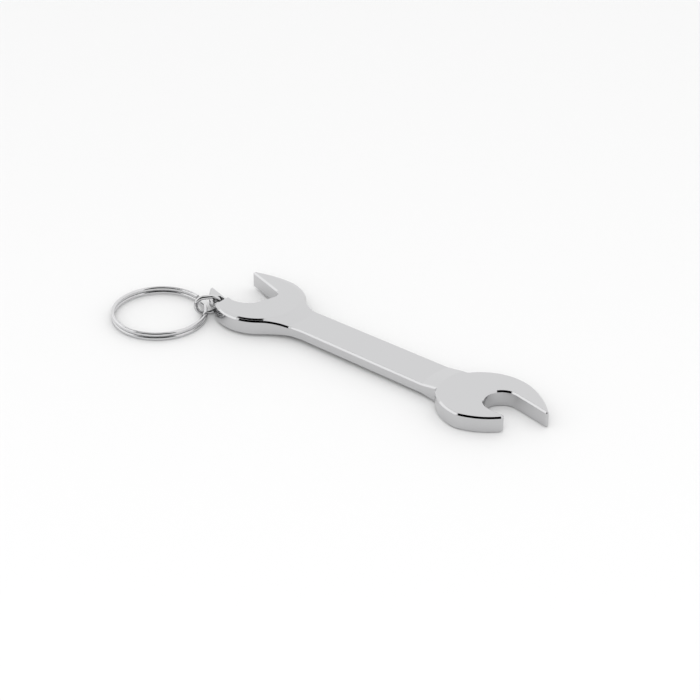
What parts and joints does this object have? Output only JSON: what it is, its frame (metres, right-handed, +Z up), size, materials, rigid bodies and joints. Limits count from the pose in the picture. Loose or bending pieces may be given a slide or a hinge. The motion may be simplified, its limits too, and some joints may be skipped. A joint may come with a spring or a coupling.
{
  "type": "keychain bottle opener",
  "caption": "Small chrome opener shaped like a double-ended spanner, with a crown-cap jaw at one end and a split ring on a wire link at the other.",
  "frame": {"origin": "middle of the footprint of the whole part, on the surface that it lies on", "axes": "+X along the handle towards the opener head, +Z up through the flat faces"},
  "size_m": [0.1196, 0.0416, 0.0055],
  "materials": {
    "plated_casting": "zinc die casting, polished and bright chrome plated",
    "link_wire": "round steel wire, nickel plated",
    "ring_wire": "flattened spring steel wire, nickel plated"
  },
  "bodies": {
    "opener": {"opener_body": "plated_casting"},
    "link": {"connecting_link": "link_wire"},
    "ring": {"split_ring": "ring_wire"}
  },
  "joints": [
    {"name": "link_swing", "type": "hinge", "parent": "opener", "child": "link", "pos_m": [-0.03719, 0.00291, 0.00284], "axis": [0, 0, 1], "range_deg": [-10, 10]},
    {"name": "ring_swing", "type": "hinge", "parent": "link", "child": "ring", "pos_m": [-0.03934, 0.00021, 0.00178], "axis": [0.7314, -0.682, 0], "range_deg": [-90, 40]}
  ]
}
